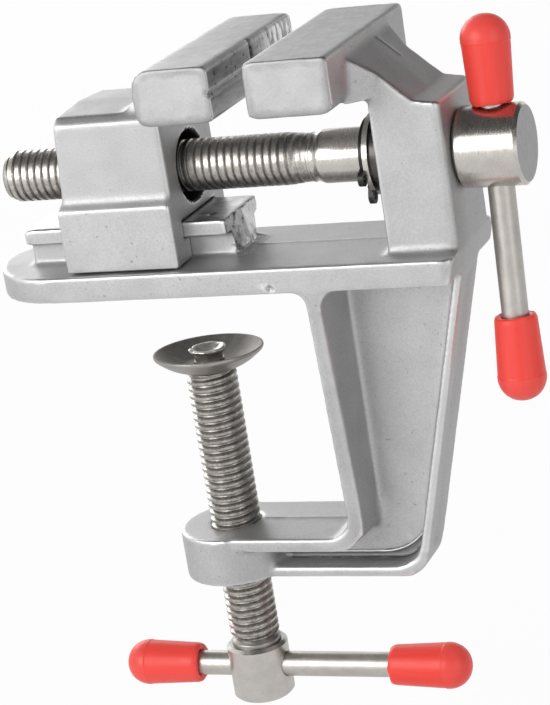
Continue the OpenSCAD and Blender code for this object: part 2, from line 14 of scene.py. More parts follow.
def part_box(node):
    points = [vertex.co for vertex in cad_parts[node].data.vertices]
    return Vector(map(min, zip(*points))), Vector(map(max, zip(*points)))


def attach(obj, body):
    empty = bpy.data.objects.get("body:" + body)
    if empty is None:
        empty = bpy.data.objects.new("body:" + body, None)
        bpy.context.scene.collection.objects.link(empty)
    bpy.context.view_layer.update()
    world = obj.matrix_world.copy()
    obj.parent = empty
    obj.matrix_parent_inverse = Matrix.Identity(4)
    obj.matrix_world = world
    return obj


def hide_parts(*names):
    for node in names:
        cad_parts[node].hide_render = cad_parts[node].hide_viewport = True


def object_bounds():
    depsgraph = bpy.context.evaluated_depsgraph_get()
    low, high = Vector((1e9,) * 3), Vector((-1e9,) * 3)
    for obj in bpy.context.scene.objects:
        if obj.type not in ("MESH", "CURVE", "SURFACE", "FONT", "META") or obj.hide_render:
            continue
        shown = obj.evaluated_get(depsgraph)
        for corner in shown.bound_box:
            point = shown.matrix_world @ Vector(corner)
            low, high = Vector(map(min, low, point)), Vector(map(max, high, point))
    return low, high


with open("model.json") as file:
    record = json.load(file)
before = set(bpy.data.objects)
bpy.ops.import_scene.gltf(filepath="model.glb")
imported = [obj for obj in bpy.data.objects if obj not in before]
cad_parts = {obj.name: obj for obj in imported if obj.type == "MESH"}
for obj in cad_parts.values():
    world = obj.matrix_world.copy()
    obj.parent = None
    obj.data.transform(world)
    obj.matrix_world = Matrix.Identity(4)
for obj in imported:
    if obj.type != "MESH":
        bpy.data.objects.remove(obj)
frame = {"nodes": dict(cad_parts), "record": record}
cad_low, cad_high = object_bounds()
scene = bpy.context.scene
MM = 0.001
ALONG_X = Matrix.Rotation(math.radians(90), 4, "Y")
# The photograph's view, as measured: turn from the front, rise, roll, place, and focal length in pixels
VIEW_TURN = math.radians(22.82)
VIEW_RISE = math.radians(17.28)
VIEW_ROLL = math.radians(9.16)
VIEW_FROM = Vector((160.9, -355.3, 106.6))
PHOTO_FOCAL, PHOTO_HEIGHT = 2561.7, 705
# Both screws' threads: pitch and radii
PITCH = 1.25
CREST, ROOT = 4.06, 3.42
# Height of a cap's seam over its mouth
CAP_SEAM = 9.4


def box_mm(node):
    low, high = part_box(node)
    return low / MM, high / MM


def slide_axis(joint):
    joints = {j["name"]: j for j in frame["record"]["behaviour"]["joints"]}
    return Vector(joints[joint]["axis"]).normalized()


# Node graphs

class Graph:
    """Adds nodes to a shader tree: settings by name, sockets by name, a linked socket by passing it."""

    def __init__(self, tree):
        self.tree = tree
        tree.nodes.clear()

    def add(self, kind, sockets=(), **settings):
        node = self.tree.nodes.new(kind)
        for key, value in settings.items():
            setattr(node, key, value)
        for key, value in dict(sockets).items():
            if isinstance(value, bpy.types.NodeSocket):
                self.tree.links.new(value, node.inputs[key])
            else:
                node.inputs[key].default_value = value
        return node

    def where(self):
        return self.add("ShaderNodeTexCoord").outputs["Object"]

    def along(self, axis):
        return self.add("ShaderNodeSeparateXYZ", {"Vector": self.where()}).outputs[axis]

    def facing(self, axis):
        normal = self.add("ShaderNodeTexCoord").outputs["Normal"]
        return self.add("ShaderNodeSeparateXYZ", {"Vector": normal}).outputs[axis]

    def edges(self):
        """1 on a casting's outer edges, 0 on flat and hollow places."""
        return self.add("ShaderNodeAttribute", attribute_name="edge").outputs["Fac"]

    def mapped(self, scale, location=(0.0, 0.0, 0.0)):
        sockets = {"Vector": self.where(), "Scale": scale, "Location": location}
        return self.add("ShaderNodeMapping", sockets).outputs["Vector"]

    def noise(self, where, scale, detail=2.0, roughness=0.5):
        sockets = {"Vector": where, "Scale": scale, "Detail": detail, "Roughness": roughness}
        return self.add("ShaderNodeTexNoise", sockets).outputs["Fac"]

    def streaks(self, scale, detail=3.0):
        """Noise drawn out along the axis with the smallest scale."""
        return self.noise(self.mapped(scale), 1.0, detail, 0.6)

    def ramp(self, value, low, high, to_low=0.0, to_high=1.0):
        sockets = {"Value": value, "From Min": low, "From Max": high, "To Min": to_low, "To Max": to_high}
        return self.add("ShaderNodeMapRange", sockets).outputs["Result"]

    def spread(self, value, to_low=0.0, to_high=1.0):
        """Stretches the middle of a noise, where most of its values lie, over a range."""
        return self.ramp(value, 0.3, 0.7, to_low, to_high)

    def both(self, first, share, second):
        """Sum of two noises, with the first one's share of it."""
        return self.math("ADD", self.spread(first, 0.0, share), self.spread(second, 0.0, 1.0 - share))

    def math(self, operation, a, b=0.0):
        return self.add("ShaderNodeMath", {0: a, 1: b}, operation=operation).outputs[0]

    def length(self, vector):
        return self.add("ShaderNodeVectorMath", {0: vector}, operation="LENGTH").outputs["Value"]

    def mix(self, share, a, b):
        return self.add("ShaderNodeMix", {0: share, 6: a, 7: b}, data_type="RGBA").outputs[2]

    def bump(self, height, strength, distance):
        sockets = {"Height": height, "Strength": strength, "Distance": distance * MM}
        return self.add("ShaderNodeBump", sockets).outputs["Normal"]

    def finish(self, sockets):
        shader = self.add("ShaderNodeBsdfPrincipled", sockets)
        self.add("ShaderNodeOutputMaterial", {"Surface": shader.outputs["BSDF"]})

    def metal(self, colour, rough, normal):
        self.finish({"Base Color": colour, "Metallic": 1.0, "Roughness": rough, "Normal": normal})


def material(name):
    made = bpy.data.materials.new(name)
    made.use_nodes = True
    return made, Graph(made.node_tree)


def grey(value):
    return (value, value, value * 1.005, 1.0)


def warm(value):
    return (value, value * 0.95, value * 0.89, 1.0)


# Materials

def cast_metal(name, dark, light):
    """Bead-blasted casting: fine grain, small pits, faint clouds, a satin sheen, and outer edges painted
    lighter, partly as rubbed wear and partly as a painted highlight.
    """
    made, g = material(name)
    grain = g.noise(g.where(), 3600.0, 3.0, 0.65)
    pits = g.noise(g.where(), 1300.0, 2.0)
    clouds = g.noise(g.where(), 150.0, 3.0)
    shade = g.both(grain, 0.6, clouds)
    colour = g.mix(shade, grey(dark), grey(light))
    colour = g.mix(g.ramp(pits, 0.68, 0.78, 0.0, 0.6), colour, grey(0.22))
    # Outer edges mixed towards near-white: partly rubbed wear, partly a painted highlight
    rubbed_edge_and_highlight = g.edges()
    colour = g.mix(g.math("MULTIPLY", rubbed_edge_and_highlight, 0.6), colour, grey(0.94))
    rough = g.math("SUBTRACT", g.spread(clouds, 0.50, 0.58), g.math("MULTIPLY", rubbed_edge_and_highlight, 0.2))
    g.metal(colour, rough, g.bump(grain, 0.5, 0.06))
    return made


def ground_face(name, low, high):
    """Front of a jaw head, ground bright inside a duller border. low and high are its corners in X and Z."""
    made, g = material(name)
    place = g.add("ShaderNodeSeparateXYZ", {"Vector": g.where()}).outputs
    out = []
    for axis, a, b in (("X", low[0], high[0]), ("Z", low[1], high[1])):
        off = g.math("ABSOLUTE", g.math("SUBTRACT", place[axis], (a + b) / 2 * MM))
        out.append(g.math("SUBTRACT", off, (b - a) / 2 * MM))
    ragged = g.spread(g.noise(g.where(), 450.0, 4.0), -0.4 * MM, 0.4 * MM)
    border = g.ramp(g.math("ADD", g.math("MAXIMUM", out[0], out[1]), ragged), -1.5 * MM, -0.8 * MM)
    grain = g.noise(g.where(), 2600.0, 3.0, 0.65)
    clouds = g.noise(g.where(), 240.0, 3.0)
    shade = g.both(grain, 0.4, clouds)
    colour = g.mix(border, g.mix(shade, grey(0.44), grey(0.60)), g.mix(shade, grey(0.36), grey(0.50)))
    g.metal(colour, g.spread(clouds, 0.50, 0.58), g.bump(grain, 0.4, 0.06))
    return made


def machined_metal(name, scale, dark, light, rough):
    """Cut face: tool streaks and stains."""
    made, g = material(name)
    streaks = g.streaks(scale, 4.0)
    stains = g.noise(g.where(), 420.0, 4.0, 0.6)
    shade = g.both(streaks, 0.6, stains)
    colour = g.mix(shade, grey(dark), grey(light))
    g.metal(colour, g.spread(streaks, rough, rough + 0.14), g.bump(streaks, 0.4, 0.05))
    return made


def jaw_face():
    """Gripping face: dull and stained, with dark specks, and bright scuffs towards its back end."""
    made, g = material("jaw_face")
    streaks = g.streaks((900.0, 240.0, 1300.0), 4.0)
    specks = g.noise(g.where(), 820.0, 2.0)
    back_end = g.ramp(g.along("Y"), 1.0 * MM, 10.0 * MM)
    scuffs = g.math("MULTIPLY", back_end, g.ramp(g.streaks((500.0, 900.0, 260.0)), 0.44, 0.54))
    colour = g.mix(g.spread(streaks), grey(0.24), grey(0.54))
    colour = g.mix(g.ramp(specks, 0.62, 0.70, 0.0, 0.9), colour, grey(0.06))
    colour = g.mix(scuffs, colour, grey(0.97))
    # Outer edges painted lighter: partly rubbed wear, partly a painted highlight
    colour = g.mix(g.edges(), colour, grey(0.9))
    g.metal(colour, g.spread(streaks, 0.32, 0.5), g.bump(streaks, 0.5, 0.08))
    return made


def torn_metal(name, dark, light):
    """Crystalline metal where the casting's runner was snapped off."""
    made, g = material(name)
    crystals = g.add("ShaderNodeTexVoronoi", {"Vector": g.where(), "Scale": 1300.0}).outputs["Color"]
    level = g.add("ShaderNodeSeparateXYZ", {"Vector": crystals}).outputs["X"]
    scratches = g.streaks((900.0, 900.0, 250.0))
    shade = g.math("ADD", g.ramp(level, 0.0, 1.0, 0.0, 0.5), g.spread(scratches, 0.0, 0.5))
    colour = g.mix(shade, grey(dark), grey(light))
    g.metal(colour, g.ramp(level, 0.0, 1.0, 0.20, 0.40), g.bump(level, 0.7, 0.2))
    return made


def bore_metal():
    """Near-black inside of a threaded bore: painted shade where the bore is deep and unlit."""
    made, g = material("bore_painted_shade")
    blotches = g.noise(g.where(), 700.0, 3.0)
    g.finish({"Base Color": g.mix(blotches, grey(0.012), grey(0.05)), "Metallic": 0.5,
              "Roughness": g.spread(blotches, 0.4, 0.6)})
    return made


def satin_steel(name, scale, low, high, rough, faced=None):
    """Plated steel with a fine grain. faced names the axis whose end faces are duller, as turned."""
    made, g = material(name)
    grain = g.streaks(scale)
    blotches = g.noise(g.where(), 420.0, 4.0, 0.6)
    shade = g.both(blotches, 0.6, grain)
    colour = g.mix(shade, warm(low), warm(high))
    if faced:
        ends = g.ramp(g.math("ABSOLUTE", g.facing(faced)), 0.96, 0.99)
        colour = g.mix(ends, colour, grey(0.55 * low))
    g.metal(colour, g.spread(grain, rough - 0.05, rough + 0.06), g.bump(grain, 0.2, 0.03))
    return made


def thread_steel(name, scale, flat, axis_at, dark, light):
    """Thread in a brownish steel with grain and dirt, its roots painted darker than its crests as painted
    shade. flat zeroes the coordinate along the screw's axis.
    """
    made, g = material(name)
    radius = g.length(g.mapped(flat, axis_at))
    crest_share = g.ramp(radius, ROOT * MM, (ROOT + 0.35) * MM)
    grain = g.streaks(scale, 4.0)
    dirt = g.noise(g.where(), 1900.0, 4.0, 0.7)
    shade = g.math("ADD", g.spread(grain, 0.0, 0.4), g.ramp(dirt, 0.35, 0.65, 0.0, 0.6))
    # Roots darkened to 0.6 of the crests' shade: painted shade
    shade = g.math("MULTIPLY", shade, g.ramp(crest_share, 0.0, 1.0, 0.6, 1.0))
    colour = g.mix(shade, warm(dark), warm(light))
    g.metal(colour, g.ramp(shade, 0.0, 1.0, 0.42, 0.24), g.bump(dirt, 0.45, 0.06))
    return made


def black_spring_steel():
    made, g = material("black_spring_steel")
    spots = g.noise(g.where(), 900.0, 3.0)
    g.finish({"Base Color": g.mix(spots, grey(0.012), grey(0.05)), "Metallic": 0.6,
              "Roughness": g.spread(spots, 0.28, 0.42)})
    return made


def red_vinyl():
    """Soft vinyl cap, moulded along its own Z axis, with a paler dome above its seam."""
    made, g = material("red_vinyl")
    height = g.along("Z")
    bands = g.streaks((420.0, 420.0, 30.0))
    dimples = g.noise(g.where(), 1500.0, 2.0)
    colour = g.mix(g.ramp(bands, 0.35, 0.65), (0.93, 0.058, 0.042, 1.0), (0.99, 0.082, 0.062, 1.0))
    dome = g.ramp(height, (CAP_SEAM - 0.1) * MM, (CAP_SEAM + 0.1) * MM, 0.0, 0.35)
    colour = g.mix(dome, colour, (0.96, 0.11, 0.095, 1.0))
    g.finish({"Base Color": colour, "Roughness": g.spread(dimples, 0.34, 0.44), "IOR": 1.45,
              "Subsurface Weight": 0.12, "Subsurface Radius": (1.2 * MM, 0.3 * MM, 0.2 * MM),
              "Normal": g.bump(dimples, 0.06, 0.05)})
    return made


AXIS_Z = (box_mm("main_spindle")[0].z + box_mm("main_spindle")[1].z) / 2
CAST = cast_metal("cast_aluminium", 0.44, 0.61)
# Darker copy of the casting: painted shade for the thin web in the groove under the panel
CAST_PAINTED_SHADE = cast_metal("cast_painted_shade", 0.18, 0.28)
CUT_TOP = machined_metal("machined_top", (2300.0, 420.0, 900.0), 0.33, 0.61, 0.42)
CUT_RAIL = machined_metal("machined_rail", (300.0, 1700.0, 1700.0), 0.20, 0.70, 0.28)
FIXED_FRONT = ground_face("fixed_jaw_front", (20.8, 28.5), (34.0, 37.0))
MOVING_FRONT = ground_face("moving_jaw_front", (3.0, 28.5), (15.4, 37.0))
GRIP = jaw_face()
TORN_DULL = torn_metal("torn_dull", 0.20, 0.62)
# Lighter copy of the torn metal: a painted highlight on parts of the rail's torn end
TORN_PAINTED_HIGHLIGHT = torn_metal("torn_painted_highlight", 0.46, 0.97)
BORE_PAINTED_SHADE = bore_metal()
CASTING_FINISHES = (
    CAST, CAST_PAINTED_SHADE, CUT_TOP, CUT_RAIL, FIXED_FRONT, MOVING_FRONT, GRIP, TORN_DULL, TORN_PAINTED_HIGHLIGHT, BORE_PAINTED_SHADE)
STEEL_X = satin_steel("steel_turned_x", (6000.0, 1100.0, 1100.0), 0.54, 0.68, 0.24, "X")
STEEL_Z = satin_steel("steel_turned_z", (1100.0, 1100.0, 6000.0), 0.52, 0.66, 0.32, "Z")
STEEL_BAR = satin_steel("steel_bar", (1500.0, 1500.0, 1500.0), 0.48, 0.62, 0.40)
# Near-black copy of the steel for the spring washer: painted shade in the gap by the upright
STEEL_PAINTED_SHADE = satin_steel("steel_painted_shade", (3000.0, 900.0, 900.0), 0.06, 0.14, 0.30)
STEEL_PAD = satin_steel("steel_pad", (700.0, 700.0, 4000.0), 0.34, 0.46, 0.42)
# Darker copy of the pad's steel: painted shade inside the dish
STEEL_DISH_PAINTED_SHADE = satin_steel("steel_dish_painted_shade", (900.0, 900.0, 900.0), 0.2, 0.38, 0.62)
MAIN_THREAD = thread_steel(
    "main_thread_steel", (5000.0, 700.0, 700.0), (0, 1, 1), (0, 0, -AXIS_Z * MM), 0.26, 0.72)
CLAMP_THREAD = thread_steel("clamp_thread_steel", (700.0, 700.0, 5000.0), (1, 1, 0), (0, 0, 0), 0.19, 0.66)
BLACK = black_spring_steel()
RED = red_vinyl()


# Meshes

def add_object(name, mesh, *materials):
    obj = bpy.data.objects.new(name, mesh)
    scene.collection.objects.link(obj)
    for m in materials:
        mesh.materials.append(m)
    return obj


def shaded(mesh, sharp_angle):
    mesh.shade_smooth()
    mesh.set_sharp_from_angle(angle=math.radians(sharp_angle))
    return mesh


def dress(obj, body, slot, *nodes):
    """Puts a made piece on its body, in place of the CAD nodes that it stands for, if any."""
    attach(obj, body)
    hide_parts(*nodes)


def smooth_step(t):
    t = min(max(t, 0.0), 1.0)
    return t * t * (3 - 2 * t)


def rounded(corners, closed=False, steps=5):
    """Profile through (radius, height, round) corners with each corner rounded off."""
    out = []
    n = len(corners)
    for i, (r, h, size) in enumerate(corners):
        here = Vector((r, h))
        if size == 0 or (not closed and i in (0, n - 1)):
            out.append(tuple(here))
            continue
        before = Vector(corners[(i - 1) % n][:2]) - here
        after = Vector(corners[(i + 1) % n][:2]) - here
        a = here + before.normalized() * min(size, before.length / 2)
        b = here + after.normalized() * min(size, after.length / 2)
        for k in range(steps + 1):
            t = k / steps
            out.append(tuple((1 - t) ** 2 * a + 2 * t * (1 - t) * here + t * t * b))
    return out


def circle(radius, steps=72):
    """Points on a circle about the Z axis, as (x, y)."""
    turns = (2 * math.pi * i / steps for i in range(steps))
    return [(radius * math.cos(turn), radius * math.sin(turn)) for turn in turns]


THREAD_STEPS = 56
# Thread forms over one pitch, as shares of the pitch and of the depth: worn flat, and sharper
WORN_FORM = ((0.0, 0.30), (0.05, 0.36), (0.15, 0.88), (0.20, 1.0), (0.76, 1.0), (0.81, 0.88), (0.92, 0.36))
SHARP_FORM = ((0.0, 0.0), (0.07, 0.08), (0.22, 0.84), (0.29, 1.0), (0.61, 1.0), (0.68, 0.84), (0.84, 0.08))


class Shell:
    """Points in mm, mostly in rings about the Z axis, and the faces between them."""

    def __init__(self):
        self.points, self.faces, self.kinds = [], [], []

    def add_faces(self, faces, kind):
        self.faces += faces
        self.kinds += [kind] * len(faces)

    def join(self, start, steps, count, kind=0, closed=False):
        """Faces between each two of count rings, whose points begin at start."""
        faces = []
        for j in range(count if closed else count - 1):
            low, high = start + j * steps, start + (j + 1) % count * steps
            for i in range(steps):
                k = (i + 1) % steps
                faces.append((low + i, low + k, high + k, high + i))
        self.add_faces(faces, kind)

    def ring(self, row):
        for i, (radius, height) in enumerate(row):
            angle = 2 * math.pi * i / len(row)
            self.points.append((radius * math.cos(angle), radius * math.sin(angle), height))

    def skin(self, rows, kind=0, closed=False):
        """Faces over rings of (radius, height); without closed, the first and last ring get flat ends."""
        start, steps, count = len(self.points), len(rows[0]), len(rows)
        for row in rows:
            self.ring(row)
        self.join(start, steps, count, kind, closed)
        if not closed:
            first, last = range(start, start + steps), range(len(self.points) - steps, len(self.points))
            self.add_faces([tuple(reversed(first)), tuple(last)], kind)

    def lathe(self, profile, kind=0, closed=False, steps=72):
        self.skin([[p] * steps for p in profile], kind, closed)

    def thread(self, form, low, high, run_out, fade_low, fade_high, kind=0):
        """Right-hand thread: one strip wound up the axis, fading to its root below and to run_out above."""
        start, n = len(self.points), len(form)
        rows = (math.ceil((high - low) / PITCH) + 3) * n
        ends = []
        for row in range(rows):
            share, rise = form[row % n]
            ring = []
            for i in range(THREAD_STEPS):
                height = low + (row // n - 1 + share + i / THREAD_STEPS) * PITCH
                ends.append((height > high) - (height < low))
                height = min(max(height, low), high)
                radius = ROOT + (CREST - ROOT) * rise * smooth_step((height - low) / fade_low)
                full = smooth_step((high - height) / fade_high)
                ring.append((run_out + (radius - run_out) * full, height))
            self.ring(ring)
        faces = []
        for row in range(rows - n - 1):
            for i in range(THREAD_STEPS):
                turn = n if i == THREAD_STEPS - 1 else 0
                k = (i + 1) % THREAD_STEPS
                face = [row * THREAD_STEPS + i, (row + turn) * THREAD_STEPS + k,
                        (row + turn + 1) * THREAD_STEPS + k, (row + 1) * THREAD_STEPS + i]
                if abs(sum(ends[p] for p in face)) < 4:
                    faces.append(tuple(start + p for p in face))
        self.add_faces(faces, kind)

    def mesh(self, name, place=Matrix.Identity(4), sharp_angle=35.0):
        mesh = bpy.data.meshes.new(name)
        mesh.from_pydata([place @ (Vector(p) * MM) for p in self.points], [], self.faces)
        mesh.polygons.foreach_set("material_index", self.kinds)
        mesh.validate()
        return shaded(mesh, sharp_angle)


# Castings: the CAD solid, remeshed finely so that its edges and inner corners take cast rounds

def read(items, key, width=3):
    out = np.empty(len(items) * width, dtype=np.float32)
    items.foreach_get(key, out)
    return out.reshape(-1, width).astype(np.float64)


class Skin:
    """A mesh's points with their neighbours, for smoothing that can be weighted point by point."""

    def __init__(self, mesh):
        self.mesh = mesh
        pairs = np.empty(len(mesh.edges) * 2, dtype=np.int32)
        mesh.edges.foreach_get("vertices", pairs)
        self.a, self.b = pairs.reshape(-1, 2).T
        self.co = read(mesh.vertices, "co")
        n = len(self.co)
        self.count = np.bincount(self.a, minlength=n) + np.bincount(self.b, minlength=n)

    def around(self, values):
        n = len(self.co)
        total = np.bincount(self.a, values[self.b], n) + np.bincount(self.b, values[self.a], n)
        return total / self.count

    def pull(self):
        return np.stack([self.around(self.co[:, k]) for k in range(3)], axis=1) - self.co

    def soften(self, weight, rounds):
        for _ in range(rounds):
            self.co += 0.5 * weight[:, None] * self.pull()

    def normals(self):
        self.store()
        return read(self.mesh.vertex_normals, "vector")

    def inner_corners(self, spread):
        """Weight of 1 in the inner corners and out to a few points from them."""
        hollow = np.einsum("ij,ij->i", self.pull(), self.normals())
        mask = (hollow > 0.012 * MM).astype(np.float64)
        for _ in range(spread):
            mask = np.maximum(mask, 0.999 * (self.around(mask) > 0.2))
        return mask

    def store(self):
        self.mesh.vertices.foreach_set("co", self.co.astype(np.float32).ravel())
        self.mesh.update()


def evaluated(obj):
    mesh = bpy.data.meshes.new_from_object(obj.evaluated_get(bpy.context.evaluated_depsgraph_get()))
    obj.modifiers.clear()
    obj.data = mesh
    return mesh


def inside(co, box):
    """Which points lie within a box given by two corners in mm."""
    low, high = np.array(box) * MM
    return np.all((co >= low) & (co <= high), axis=1)


def well_inside(co, box, fade=0.6 * MM):
    """Weight of 1 for points within a box, which fades out towards its faces."""
    low, high = np.array(box) * MM
    return np.clip(np.minimum(co - low, high - co).min(axis=1) / fade, 0, 1)


class Casting:
    """Remeshed copy of a CAD solid, worked on in steps and then thinned out."""

    def __init__(self, name, node, crisp):
        """crisp lists boxes with the share of rounding left for the edges in them."""
        self.obj = add_object(name, frame["nodes"][node].data.copy())
        self.obj.data.materials.clear()
        weld = self.obj.modifiers.new("weld", "WELD")
        weld.merge_threshold = 0.002 * MM
        remesh = self.obj.modifiers.new("remesh", "REMESH")
        remesh.mode = "VOXEL"
        remesh.voxel_size = 0.3 * MM
        self.skin = Skin(evaluated(self.obj))
        self.weight = np.ones(len(self.skin.co))
        for box, share in crisp:
            self.weight[inside(self.skin.co, box)] = share

    def round_off(self):
        """Rounds all edges, fills all inner corners with fillets and makes the faces a little wavy."""
        skin = self.skin
        skin.soften(self.weight, 4)
        skin.soften(self.weight * skin.inner_corners(3), 26)
        skin.soften(self.weight, 2)
        normals = skin.normals()
        wave = np.array([noise.noise(Vector(p) * 260) + 0.4 * noise.noise(Vector(p) * 900) for p in skin.co])
        skin.co += normals * (self.weight * wave * 0.03 * MM)[:, None]

    def soften(self, box, rounds):
        """Rounds the edges in a box some more."""
        self.skin.soften(well_inside(self.skin.co, box), rounds)

    def fill(self, box, rounds):
        """Deepens the fillets of the inner corners in a box."""
        self.skin.soften(well_inside(self.skin.co, box) * self.skin.inner_corners(4), rounds)

    def lift(self, box, height):
        """Raises the lowest points in a box, less towards its top."""
        hit = inside(self.skin.co, box)
        low, high = box[0][2] * MM, box[1][2] * MM
        self.skin.co[hit, 2] += height * MM * (high - self.skin.co[hit, 2]) / (high - low)

    def dent(self, at, radius, depth):
        """Presses in a round dent, or raises a bump if depth is below zero."""
        gap = np.linalg.norm(self.skin.co - np.array(at) * MM, axis=1) / (radius * MM)
        self.skin.co -= self.skin.normals() * (np.clip(1 - gap * gap, 0, 1) * depth * MM)[:, None]

    def ridge(self, box, height):
        """Raises the points in a narrow box, as flash does along a parting line."""
        hit = inside(self.skin.co, box).astype(np.float64)
        self.skin.co += self.skin.normals() * (hit * height * MM)[:, None]

    def tear(self, box, edge, crest, depth):
        """Snaps off an end in +X at edge: rough facets on both sides of a crest that juts out at its foot."""
        low, high = box[0][2], box[1][2]
        facets_per_m, front_slope, back_slope = 420, 9.0, 5.0
        for i in np.nonzero(inside(self.skin.co, box))[0]:
            here = Vector(self.skin.co[i])
            x, y, z = here / MM
            spot = noise.voronoi(here * facets_per_m)[1][0]
            tilt = noise.cell_vector(spot * 7) - Vector((0.5, 0.5, 0.5))
            step = tilt.x + 1.4 * tilt.dot(here * facets_per_m - spot)
            jut = crest * (high - z) / (high - low) * (1 - abs(y) / (front_slope if y < 0 else back_slope))
            self.skin.co[i][0] = min(x, edge + jut + step * depth) * MM

    def thin(self, keep):
        """Marks the outer edges for the materials, then thins the mesh out and makes it ready for paint."""
        edge = self.skin.around(-np.einsum("ij,ij->i", self.skin.pull(), self.skin.normals()))
        kept = self.skin.mesh.attributes.new("edge", "FLOAT", "POINT")
        kept.data.foreach_set("value", np.clip((edge / MM - 0.008) / 0.02, 0, 1).astype(np.float32))
        modifier = self.obj.modifiers.new("thin", "DECIMATE")
        modifier.ratio = keep
        self.mesh = evaluated(self.obj)
        shaded(self.mesh, 180.0)
        for m in CASTING_FINISHES:
            self.mesh.materials.append(m)
        self.centres = read(self.mesh.polygons, "center")
        self.facing = read(self.mesh.polygons, "normal")
        self.kinds = np.zeros(len(self.mesh.polygons), dtype=np.int32)

    def paint(self, finish, hit):
        self.kinds[hit] = CASTING_FINISHES.index(finish)

    def paint_box(self, finish, box, towards, least):
        """Paints the faces in a box that face a direction by at least some share."""
        turned = self.facing @ np.array(towards, dtype=float) >= least
        self.paint(finish, inside(self.centres, box) & turned)

    def dress(self, body, slot, node):
        self.mesh.polygons.foreach_set("material_index", self.kinds)
        dress(self.obj, body, slot, node)


def frame_casting():
    rail = ((-26.0, -9.0, 4.9), (11.5, 9.0, 11.5))
    rail_mid = ((-23.9, -9.0, 4.9), (8.7, 9.0, 11.5))
    rail_end = ((9.0, -7.6, 4.7), (11.5, 7.6, 11.0))
    torn_face = ((9.0, -7.6, 4.4), (11.5, 7.6, 11.0))
    torn_painted_highlight = ((9.0, 0.1, 4.4), (11.5, 7.6, 10.4))
    torn_foot = ((9.0, -5.5, 4.4), (11.5, 5.5, 5.7))
    tops = ((20.0, -19.0, 36.4), (34.5, 19.0, 38.0))
    top_mid = ((22.5, -19.0, 36.4), (30.5, 19.0, 38.0))
    grip = ((20.3, -19.0, 28.0), (21.2, 19.0, 35.5))
    front = ((20.0, -19.0, 28.0), (34.5, -17.5, 38.0))
    top_edge = ((30.5, -17.6, 36.4), (34.6, 17.6, 38.0))
    panel = ((9.0, -3.2, -48.5), (33.4, 3.2, -38.0))
    thin_web = (((9.0, -1.05, -48.2), (30.0, 1.05, -46.5)), ((24.5, -1.05, -48.2), (32.6, 1.05, -40.0)))
    flange_root = ((24.0, -3.4, -42.0), (29.0, 3.4, -3.0))
    flange_front = ((24.0, -12.5, -42.0), (25.6, -6.5, -3.0))
    flange_back = ((24.0, 6.5, -42.0), (25.6, 12.5, -3.0))
    flange_foot = ((23.8, -8.2, -46.0), (29.4, 8.2, -37.0))
    rim_corner = ((30.5, -6.0, -51.0), (37.0, 6.0, -45.5))
    rail_start = ((-26.0, -8.0, 7.6), (-23.5, 8.0, 11.5))
    neck_root = ((33.0, -14.0, 27.0), (38.0, 14.0, 36.5))
    flash_lines = (((34.6, 2.8, 31.5), (38.0, 3.2, 37.5)), ((11.5, -0.2, 4.0), (35.0, 0.2, 5.0)),
                   ((5.0, -0.2, -42.0), (20.0, 0.2, -41.0)))
    base_dent, base_bump, rail_dent = (17.2, -12.0, 0.9), (16.2, -12.1, 1.0), (6.0, -3.2, 10.7)
    body = Casting("frame_cast", "frame_casting", [
        (rail_mid, 0.12), (top_mid, 0.12), (top_edge, 0.3), (grip, 0.12), (panel, 0.25), (flange_root, 0.35)])
    body.round_off()
    body.soften(rail_start, 6)
    body.fill(neck_root, 60)
    for line in flash_lines:
        body.ridge(line, 0.08)
    body.soften(flange_front, 10)
    body.soften(flange_back, 10)
    body.soften(rim_corner, 12)
    body.soften(flange_foot, 60)
    body.tear(rail_end, 9.5, 1.2, 0.2)
    body.dent(base_dent, 0.5, 0.6)
    body.dent(base_bump, 0.9, -0.12)
    body.dent(rail_dent, 0.8, 0.3)
    body.thin(0.25)
    # The thin web in the groove under the panel gets painted shade
    for box in thin_web:
        body.paint(CAST_PAINTED_SHADE, inside(body.centres, box))
    body.paint_box(CUT_RAIL, rail, (0, 0, 1), 0.8)
    body.paint_box(TORN_DULL, torn_face, (1, 0, 0), 0.3)
    # The torn end's back half and its foot get the lighter copy as a painted highlight
    body.paint_box(TORN_PAINTED_HIGHLIGHT, torn_painted_highlight, (1, 0, 0), 0.3)
    body.paint_box(TORN_PAINTED_HIGHLIGHT, torn_foot, (1, 0, 0), 0.3)
    body.paint_box(CUT_TOP, tops, (0, 0, 1), 0.9)
    body.paint_box(FIXED_FRONT, front, (0, -1, 0), 0.5)
    body.paint_box(GRIP, grip, (-1, 0, 0), 0.8)
    body.dress("frame", "cast_body", "frame_casting")


